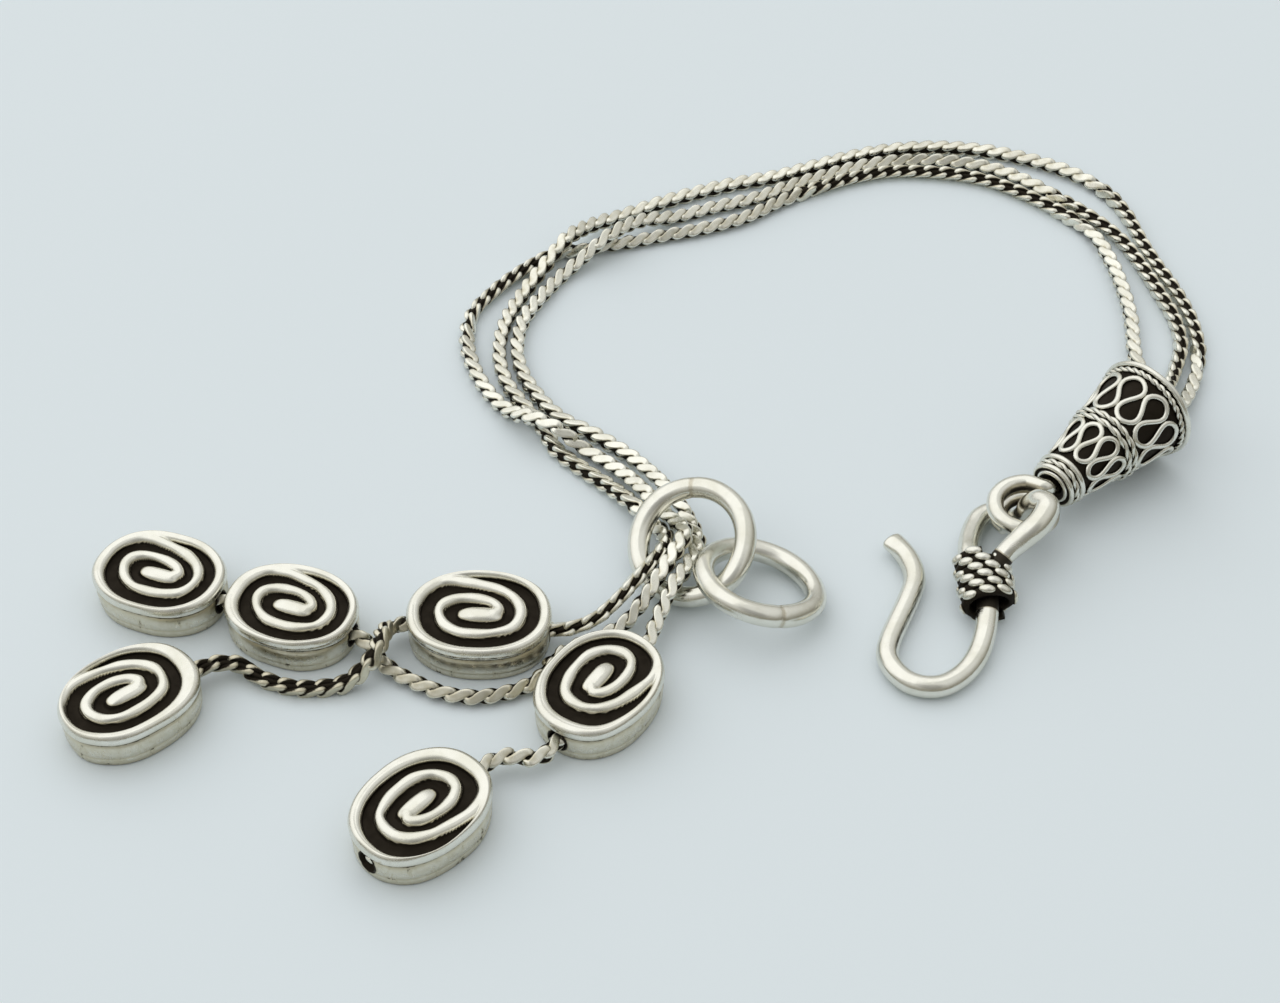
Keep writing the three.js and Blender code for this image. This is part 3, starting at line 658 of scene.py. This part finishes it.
# The face inside the rim: how many rings of vertices it has, how small the innermost one is, and
# how much of the bead's wobble it takes upwards.
FACE = Spec(rings=46, innermost=0.03, wobble=0.8)
BOTTOM_RINGS = (0.12, 0.5, 0.8)
# How dark a bead is painted: where its wall ends, as a share of its half size, where its face is sunk
# and oxidised, and where the mouths of its hole are, which are painted dark as the shade inside the
# hole, and are oxidised too.
BEAD_DARK = Spec(wall_from=0.90, sunk=3.24, sunk_span=0.32, hole_margin=0.05, hole_span=0.5,
                 mouth_from=4, mouth_below=3)


def spiral_line(place):
    """Centre line of a bead's spiral wire, seen from above."""
    flat = (np.array(SPIRAL) * place.size + place.swirl) * place.way
    route = smooth_line(np.column_stack([flat, np.zeros(len(flat))]), per_span=16)
    return even_line(route, 260)[:, :2]


def ridge(share, crest):
    """Height of a rounded ridge above the sunk floor, from how far out to its edge a point lies."""
    share = np.clip(np.abs(share), 0, 1)
    return BEAD.floor + (crest - BEAD.floor) * (1 - share ** RIDGE_FULLNESS) ** 0.5


def melt(*heights, blend=0.07):
    """The highest of several surfaces, with their meeting lines filled as if melted."""
    total = sum(np.exp((height - BEAD.floor) / blend) for height in heights)
    return BEAD.floor + blend * (np.log(total) - log(len(heights)))


def relief(flat, inset, place, seed):
    """Height of a bead's face: its rim, its spiral wire and its bar."""
    size = place.size
    line = spiral_line(place)
    gap = np.linalg.norm(flat[:, None, :] - line[None, :, :], axis=2)
    share = gap.argmin(axis=1) / (len(line) - 1)
    lumps = sum((amount * np.sin(share * pace + phase * seed)
                 for amount, pace, phase in SPIRAL_LUMPS), start=1)
    wire = ridge(gap.min(axis=1) / (SPIRAL_WIRE.half_width * size * lumps), SPIRAL_WIRE.crest)
    on_face = (flat * place.way - place.swirl) / size - BAR.middle
    x, y = np.abs(on_face / (BAR.half_length, BAR.half_width)).T
    power = BAR.squareness
    bar = ridge((x ** power + y ** power) ** (1 / power), BAR.crest)
    rim = ridge((inset - RIM.crest_inset) / (RIM.inner - RIM.crest_inset), RIM.crest)
    outside = np.clip((RIM.crest_inset - inset) / RIM.crest_inset, 0, 1)
    shoulder = RIM.outer_height + (RIM.crest - RIM.outer_height) * (1 - outside ** 2) ** 0.5
    return np.where(inset < RIM.crest_inset, shoulder, melt(rim, wire, bar))


def bead_body(place, seed, sides=192):
    """The closed body of a bead: bottom plate, wall, and its face with the spiral in relief."""
    half_length = BEAD.half_length * place.size
    half_width = BEAD.half_width * place.size
    outline = round_points(round_angles(sides), 2 / BEAD.squareness)

    def ring(inset, share=1.0, long_side=1.0):
        return outline * ((half_length - inset) * share, (half_width - inset * long_side) * share)

    rings = [np.column_stack([ring(BEAD_WALL[0][0], share), np.zeros(sides)])
             for share in BOTTOM_RINGS]
    for inset, height, _ in BEAD_WALL:
        rings.append(np.column_stack([ring(inset), np.full(sides, height)]))
    wall_rows = len(rings)
    last = RIM_INSETS[-1]
    face = [(inset, 1.0) for inset in RIM_INSETS]
    face += [(last, share) for share in np.linspace(1, FACE.innermost, FACE.rings)[1:]]
    off = np.array(place.off) * place.way
    for inset, share in face:
        flat = ring(inset, share, RIM.long_side)
        from_outline = inset if share == 1 else RIM.inner
        height = relief(flat, from_outline, place, seed)
        rings.append(np.column_stack([flat + off * smooth(inset / RIM.inner), height]))
    vertices = np.vstack(rings)
    pushed = wobble(vertices, amount=0.035, wavelength=4.5, seed=seed)
    vertices[wall_rows * sides:, 2] += (pushed - vertices)[wall_rows * sides:, 2] * FACE.wobble
    vertices[:, :2] = pushed[:, :2]
    return grid_shell(vertices, len(rings), sides)


def cut(piece, other):
    """Takes a second object away from a piece."""
    step = piece.modifiers.new("cut", "BOOLEAN")
    step.operation = "DIFFERENCE"
    step.solver = "EXACT"
    step.object = other
    bpy.context.view_layer.update()
    graph = bpy.context.evaluated_depsgraph_get()
    mesh = bpy.data.meshes.new_from_object(piece.evaluated_get(graph))
    piece.modifiers.clear()
    piece.data = mesh
    bpy.data.objects.remove(other)


def bead_frame(place):
    """The matrix that turns a bead into place, and where its middle goes."""
    turn = radians(place.turn)
    matrix = np.array([[cos(turn), sin(turn), 0],
                       [-sin(turn), cos(turn), 0], [0, 0, 1]])
    return matrix, np.array((place.x, place.y, 0))


def bead(node, place):
    """One spiral bead, bored along its long axis."""
    matrix, middle = bead_frame(place)
    body = bead_body(place, seed=int(node[-1]) * 11)
    body.vertices = body.vertices @ matrix + middle
    piece = make_mesh("spiral_" + node, [body])
    half_length = BEAD.half_length * place.size
    far_reach = BEAD.closed_reach if node in CLOSED_BEADS else BEAD.bore_reach
    line = np.array([(-far_reach * half_length, 0, BEAD.bore_height),
                     (BEAD.bore_reach * half_length, 0, BEAD.bore_height)])
    tube = sweep(line, upright_frame(line), BEAD.bore_radius, BEAD.bore_radius, sides=28)
    tube.vertices = tube.vertices @ matrix + middle
    cut(piece, make_mesh("bore", [tube]))
    shade_bead(piece, place)
    return piece


def shade_bead(piece, place):
    """Says how dark each vertex of a cut bead is painted, from where it lies: oxidised and tarnished,
    with painted shade at the wall's foot, under the rim and in the mouths of its hole.
    """
    mesh = piece.data
    vertices = np.zeros(len(mesh.vertices) * 3)
    mesh.vertices.foreach_get("co", vertices)
    matrix, middle = bead_frame(place)
    x, y, z = matrix @ (vertices.reshape(-1, 3) / MM - SHIFT - middle).T
    power = BEAD.squareness
    ring = ((np.abs(x) / BEAD.half_length) ** power
            + (np.abs(y) / BEAD.half_width) ** power) ** (1 / power) / place.size
    _, heights, dark = zip(*BEAD_WALL)
    wall = np.interp(z, heights, dark)
    sunk = fade(z, BEAD_DARK.sunk, BEAD_DARK.sunk_span)
    oxide = np.where(ring > BEAD_DARK.wall_from, wall, sunk)
    # The mouths of the hole are painted dark: painted shade inside the hole, and some oxidation.
    hole = np.hypot(y, z - BEAD.bore_height)
    mouth = (np.abs(x) / place.size > BEAD_DARK.mouth_from) * (z < BEAD_DARK.mouth_below)
    near_hole = mouth * fade(hole, BEAD.bore_radius - BEAD_DARK.hole_margin, BEAD_DARK.hole_span)
    if piece.name.endswith(CLOSED_BEADS):
        near_hole = near_hole * (x > 0)
    set_oxide_and_shade(mesh, np.maximum(oxide, near_hole))


for node, place in BEADS.items():
    finish_piece(bead(node, place), carved_silver, "oxidised_silver", node)


# ---- the two linked rings
# A soldered seam: how thin the wire is there, and how dark its line and its surroundings are,
# each with how far it reaches in radians.
SEAM = Spec(thin=0.05, thin_reach=0.05, line=0.24, line_reach=0.035, stain=0.12, stain_reach=0.2)
RING_STEPS = 160


def ring_frame(slope):
    """Sideways, forward and up directions of a ring that leans by the given slopes."""
    up = unit(np.array((-slope[0], -slope[1], 1.0)))
    sideways = unit(np.array((1.0, 0, slope[0])))
    return sideways, np.cross(up, sideways), up


def soldered_ring(name, node, seam, bulge, seed):
    """A ring of round wire with a soldered seam, a little out of round."""
    place = RINGS[node]
    sideways, forward, up = ring_frame(place.slope)
    angle = round_angles(RING_STEPS)
    round_out = 1 + bulge * np.cos(3 * angle + 0.6)
    out = turned(sideways * place.across, forward * place.along, angle)
    line = place.middle + out * round_out[:, None]
    gap = np.abs((angle - radians(seam) + pi) % tau - pi)
    lumps = 0.02 * np.sin(angle * 2 + seed)
    wire = RING_WIRE * (1 - SEAM.thin * near(gap, SEAM.thin_reach) + lumps)
    oxide = SEAM.line * near(gap, SEAM.line_reach) + SEAM.stain * near(gap, SEAM.stain_reach)
    shell = sweep(line, upright_frame(line, up, closed=True), wire, wire, sides=24, closed=True,
                  oxide=oxide)
    shell.vertices = wobble(shell.vertices, amount=0.03, wavelength=6.0, seed=seed)
    finish_piece(make_mesh(name, [shell]), bright_silver, "bright_silver", node)


soldered_ring("bundle_ring_wire", "bundle_ring", seam=80, bulge=0.0, seed=3)
soldered_ring("link_ring_wire", "link_ring", seam=-75, bulge=0.012, seed=5)


# ---- the end cone
CONE_AXIS = unit(CONE_MOUTH - CONE_FOOT)
CONE_SIDE = unit(np.cross((0, 0, 1), CONE_AXIS))
CONE_TOP = np.cross(CONE_AXIS, CONE_SIDE)
# Wires round the cone: height along it, how deep each is set in, its radius, and from bump to
# bump where it is twisted.
CONE_BANDS = [
    (-0.10, 0.62, 0.26, None), (0.16, 0.06, 0.27, None), (0.74, 0.0, 0.26, 1.1),
    (1.34, 0.0, 0.28, None), (6.72, 0.0, 0.30, 1.3), (7.42, 0.0, 0.30, 1.3),
    (CONE.length - 0.98, 0.0, 0.26, 0.8), (CONE.length - 0.30, 0.0, 0.30, None),
]
# Shares of a band's radius: how far it is lifted, and its plies and their spread if twisted.
BAND = Spec(lift=0.7, ply=0.68, spread=0.42)
# The looping wire. Each tier has its lower and upper heights, and where its loops start.
LACE = Spec(loops=9, sway=0.25, pinch=0.15, width=0.27, height=0.22, lift=0.12, weave=0.05,
            tiers=((2.25, 6.25, 0.515), (8.0, 12.45, 0.464)))


def cone_radius(height):
    """Outer radius of the cone at a height along it."""
    return CONE.narrow_radius + (CONE.wide_radius - CONE.narrow_radius) * (height / CONE.length)


def on_cone(angle, height, lift):
    """Points over the cone, and the directions straight out of it, at angles and heights."""
    height = np.broadcast_to(height, angle.shape)
    out = turned(CONE_SIDE, CONE_TOP, angle)
    slope = (CONE.wide_radius - CONE.narrow_radius) / CONE.length
    normal = unit(out - CONE_AXIS * slope)
    points = CONE_FOOT + CONE_AXIS * height[:, None] + out * cone_radius(height)[:, None]
    return points + normal * lift, normal


def cone_band(height, inset, radius, pitch):
    """A wire round the cone, plain where no pitch is given, else twisted."""
    angle = round_angles(480 if pitch else 120)
    line, normal = on_cone(angle, height, radius * BAND.lift - inset)
    axes = upright_frame(line, normal, closed=True)
    # Sides that face in towards the cone are painted dark, as its shade.
    if pitch:
        return rope(line, axes, radius * BAND.ply, radius * BAND.spread, pitch * 2, normal)
    return [sweep(line, axes, radius, radius, sides=12, closed=True, outward=normal,
                  bright=(-0.1, 0.4))]


def cone_lace(low, high, phase):
    """One continuous wire that loops up and down round a tier of the cone, in teardrops."""
    t = round_angles(32 * LACE.loops) * LACE.loops
    sway = LACE.sway * (np.sin(2 * t) - LACE.pinch * np.sin(4 * t))
    angle = (t + tau * sway) / LACE.loops + phase
    height = (low + high) / 2 - (high - low) / 2 * np.cos(t)
    line, normal = on_cone(angle, height, LACE.lift)
    line = line + normal * (LACE.weave * np.sin(t))[:, None]
    # Sides that face the cone are painted dark, as its shade.
    return sweep(line, upright_frame(line, normal, closed=True), LACE.width, LACE.height, sides=10,
                 closed=True, outward=normal, bright=(-0.25, 0.25))


def cone_ground(sides=72):
    """The hollow cone under the wires."""
    outer = [(cone_radius(height), height) for height in np.linspace(0, CONE.length, 12)]
    inner = [(cone_radius(height) - CONE.wall, height) for height in (CONE.length, CONE.hollow_from)]
    neck = [(CONE.neck_radius, CONE.neck_length), (CONE.neck_radius, 0.0)]
    profile = outer + inner + neck
    out = turned(CONE_SIDE, CONE_TOP, round_angles(sides))
    rings = [CONE_FOOT + CONE_AXIS * height + out * radius for radius, height in profile]
    return grid_shell(np.vstack(rings), len(profile), sides, closed=True, oxide=1.0)


def end_cone():
    """The filigree end cone: ground, bands and two tiers of looping wire."""
    shells = [cone_ground()]
    for band in CONE_BANDS:
        shells.extend(cone_band(*band))
    for tier in LACE.tiers:
        shells.append(cone_lace(*tier))
    for shell in shells:
        shell.vertices = wobble(shell.vertices, amount=0.025, wavelength=4.0, seed=40)
    finish_piece(make_mesh("filigree_cone", shells), carved_silver, "oxidised_silver", "end_cone")


end_cone()


# ---- the cone's wire eye
# Stand_off is from the cone's foot to the eye's middle, and the stem's heights are up the cone.
EYE = Spec(wire=0.80, radius=2.9, closing=0.5, turns=1.5, pitch=1.3, rise=0.8, lead=0.05,
           stand_off=4.05, stem=(6.6, 3.2, 0.6), disc_height=6.4, disc_radius=2.0,
           disc_thickness=0.7)
# A little solder at the ninth point of the coil.
SOLDER = Spec(point=8, oxide=0.5, reach=1.1)


def cone_eye():
    """The wire that leaves the cone's narrow end and coils into an eye, with a little solder."""
    middle = CONE_FOOT - CONE_AXIS * EYE.stand_off
    towards = atan2(CONE_AXIS[1], CONE_AXIS[0])
    wound = np.linspace(0, EYE.turns, 16)
    angle = towards + EYE.lead + tau * wound
    radius = EYE.radius - EYE.closing * wound
    coil = np.column_stack([middle[0] + radius * np.cos(angle), middle[1] + radius * np.sin(angle),
                            middle[2] + EYE.rise - EYE.pitch * wound])
    stem = [CONE_FOOT + CONE_AXIS * height for height in EYE.stem]
    line = even_line(smooth_line([*stem, *coil], per_span=14), 260)
    wire = EYE.wire * rounded_ends(line, 0.4)
    from_solder = np.linalg.norm(line - coil[SOLDER.point], axis=1)
    outward = unit((line - middle) * (1, 1, 0) + (1e-6, 0, 0))
    # Faces that look in towards the eye's middle are painted dark, as the shade in its hole; round the
    # solder the wire is stained.
    eye = sweep(line, carried_frame(line), wire, wire, sides=20, outward=outward,
                bright=(-1.35, -0.35), oxide=SOLDER.oxide * near(from_solder, SOLDER.reach))
    seat = CONE_FOOT + CONE_AXIS * EYE.disc_height
    back = seat + CONE_AXIS * EYE.disc_thickness
    line = np.array([seat, back])
    disc = sweep(line, upright_frame(line), EYE.disc_radius, EYE.disc_radius, sides=40, oxide=1.0)
    finish_piece(make_mesh("cone_wire_eye", [eye, disc]), bright_silver, "bright_silver", "cone_eye")


cone_eye()


# ---- the hook and its wrap
# The hook's tip: its share of the wire, and how much broader and thinner it is.
HOOK_TIP = Spec(share=0.07, broader=0.10, thinner=0.38)
# The teardrop eye's thicker far side: where it is along the eye's wire, and by how much.
HOOK_SWELL = Spec(low=0.55, high=0.93, edge=0.12, amount=0.16)
HOOK_DOME = 0.55
# Painted shade on the wire under the wrap: how dark, how far from the wrap's line, and its soft edges.
WRAP_SHADE = Spec(oxide=0.9, reach=2.4, reach_edge=0.4, end_edge=0.05)
WRAP = Spec(turns=5.6, start=-0.9, half_width=2.05, half_height=1.42, margin=0.55, flare=0.10,
            flare_share=0.04, core_half_width=0.50, core_half_height=0.42, steps=900)
GRAIN = Spec(along=1.46, length=0.74, width=0.45, tall=0.38, lift=0.30, rows=11, sides=14,
             pole=0.12, lean=radians(-18), looseness=0.05)


def shade_under_wrap(line, low_end, high_end):
    """How dark a wire is painted under the wrap, as its shade, between two shares of the wrap's length.
    """
    low, high = WRAP_ENDS
    axis = high - low
    share = (line - low) @ axis / (axis @ axis)
    away = np.linalg.norm(line - low - share[:, None] * axis, axis=1)
    cover = between(share, low_end, high_end, WRAP_SHADE.end_edge)
    return WRAP_SHADE.oxide * cover * smooth((WRAP_SHADE.reach - away) / WRAP_SHADE.reach_edge)


def hook():
    """The hook with its flattened tip, and its teardrop eye, in one wire."""
    shank = even_line(smooth_line(HOOK_ROUTE), 220)
    tip = fade(np.linspace(0, 1, len(shank)), 0, HOOK_TIP.share)
    wire = HOOK_WIRE * rounded_ends(shank, HOOK_DOME)
    shells = [sweep(shank, upright_frame(shank), (1 + HOOK_TIP.broader * tip) * wire,
                    (1 - HOOK_TIP.thinner * tip) * wire, sides=24,
                    oxide=shade_under_wrap(shank, -0.03, 1.2))]
    loop = even_line(smooth_line(HOOK_EYE_ROUTE), 260)
    share = np.linspace(0, 1, len(loop))
    swell = between(share, HOOK_SWELL.low, HOOK_SWELL.high, HOOK_SWELL.edge)
    wire = HOOK_WIRE * rounded_ends(loop, HOOK_DOME) * (1 + HOOK_SWELL.amount * swell)
    shells.append(sweep(loop, carried_frame(loop), wire, wire, sides=24,
                        oxide=shade_under_wrap(loop, -0.1, 0.92)))
    finish_piece(make_mesh("hook_wire", shells), bright_silver, "bright_silver", "hook")


def grain(point, around, outward, size):
    """One grain of the wrap: a small closed dome that leans across its wire."""
    across = np.cross(outward, around)
    along = around * cos(GRAIN.lean) + across * sin(GRAIN.lean)
    broad = np.cross(outward, along)
    middle = point + outward * GRAIN.lift
    polar = np.linspace(GRAIN.pole, pi - GRAIN.pole, GRAIN.rows)
    section = turned(broad * GRAIN.width, outward * GRAIN.tall, round_angles(GRAIN.sides))
    vertices = np.vstack([middle + along * (GRAIN.length * size * cos(angle))
                          + section * sin(angle) for angle in polar])
    # A grain's faces that look in are painted dark, as shade.
    facing = unit(vertices - middle) @ outward
    return grid_shell(vertices, GRAIN.rows, GRAIN.sides, oxide=fade(facing, -0.15, 0.35))


def hook_wrap():
    """A grained wire wound closely round the neck of the hook: a core painted dark, as the shade between
    the grains, and its bright grains.
    """
    low, high = WRAP_ENDS
    axis = unit(high - low)
    side = unit(np.cross(axis, (0, 0, 1)))
    top = np.cross(side, axis)
    length = np.linalg.norm(high - low) - 2 * WRAP.margin
    t = np.linspace(0, 1, WRAP.steps)
    angle = WRAP.start - tau * WRAP.turns * t
    flare = 1 + WRAP.flare * fade(t, 0, WRAP.flare_share)
    out = turned(side * WRAP.half_width, top * WRAP.half_height, angle) * flare[:, None]
    line = low + axis * (WRAP.margin + t * length)[:, None] + out
    outward = unit(turned(side / WRAP.half_width, top / WRAP.half_height, angle))
    # The core is painted wholly dark, as the shade between the grains.
    shells = [sweep(line, upright_frame(line, outward), WRAP.core_half_width,
                    WRAP.core_half_height, sides=10, oxide=1.0)]
    run = distance_along(line)
    count = int(run[-1] / GRAIN.along)
    around = tangents(line)
    for distance in (np.arange(count) + 0.5) * run[-1] / count:
        i = int(np.searchsorted(run, distance))
        size = rng.normal(1, GRAIN.looseness)
        shells.append(grain(line[i], around[i], outward[i], size))
    finish_piece(make_mesh("hook_wrap_wire", shells), carved_silver, "oxidised_silver", "hook_wrap")


hook()
hook_wrap()


# ---- floor, light and camera
FLOOR = Spec(reach=3.0, colour=(0.80, 0.875, 0.925), roughness=0.75)
# The sky is brightest at its top and dimmer in a patch behind the camera. Facing says how nearly
# a view has to look that way for each to start and to be full.
SKY_TOP = Spec(direction=(-0.12, 0.18, 0.97), facing=(-0.12, 0.78), colour=(0.80, 0.805, 0.785))
SKY_PATCH = Spec(direction=(0.1, -0.7, 0.7), facing=(0.86, 0.985), strength=0.55)
GROUND_COLOUR = (0.25, 0.24, 0.195)
LOOK_AT = np.array((-3.5, -4.6, 0.0))
CAMERA = Spec(distance=226.4, elevation=radians(45), lens=67.5, sensor_width=36, nearest=0.01)


def floor():
    """The plain surface that the bracelet lies on."""
    mesh = bpy.data.meshes.new("floor")
    reach = FLOOR.reach
    corners = [(-reach, -reach, 0), (reach, -reach, 0), (reach, reach, 0), (-reach, reach, 0)]
    mesh.from_pydata(corners, [], [(0, 1, 2, 3)])
    material = bpy.data.materials.new("floor")
    material.use_nodes = True
    shader = material.node_tree.nodes["Principled BSDF"]
    shader.inputs["Base Color"].default_value = (*FLOOR.colour, 1)
    shader.inputs["Roughness"].default_value = FLOOR.roughness
    mesh.materials.append(material)
    plane = add_object("floor", mesh)


def area_light(name, place, size, power):
    """A square light at a place in metres that faces the middle of the frame."""
    data = bpy.data.lights.new(name, "AREA")
    data.size = size
    data.energy = power
    add_object(name, data, place, facing=-Vector(place))


def sky():
    """Soft daylight: bright above, dim and warm near the ground, and dimmer behind the camera."""
    world = bpy.data.worlds.new("studio")
    bpy.context.scene.world = world
    world.use_nodes = True
    tree = world.node_tree
    background = tree.nodes["Background"]
    place = tree.nodes.new("ShaderNodeTexCoord")

    def facing(direction):
        dot = tree.nodes.new("ShaderNodeVectorMath")
        dot.operation = "DOT_PRODUCT"
        dot.inputs[1].default_value = direction
        tree.links.new(place.outputs["Generated"], dot.inputs[0])
        return dot.outputs["Value"]

    top = ramp(tree, facing(SKY_TOP.direction), SKY_TOP.facing)
    patch = ramp(tree, facing(SKY_PATCH.direction), SKY_PATCH.facing, (1, SKY_PATCH.strength))
    tree.links.new(mixed(tree, top, GROUND_COLOUR, SKY_TOP.colour), background.inputs["Color"])
    tree.links.new(patch, background.inputs["Strength"])


def camera():
    """The photo's camera, looking down at the bracelet from the front."""
    data = bpy.data.cameras.new("camera")
    data.lens = CAMERA.lens
    data.sensor_width = CAMERA.sensor_width
    data.clip_start = CAMERA.nearest
    back = Vector((0, -cos(CAMERA.elevation), sin(CAMERA.elevation)))
    place = Vector((LOOK_AT + SHIFT) * MM) + back * CAMERA.distance * MM
    bpy.context.scene.camera = add_object("camera", data, place, facing=-back)


floor()
sky()
area_light("window", place=(-0.90, 0.65, 1.25), size=3.20, power=13.0)
camera()
bpy.context.scene.view_settings.view_transform = "Standard"
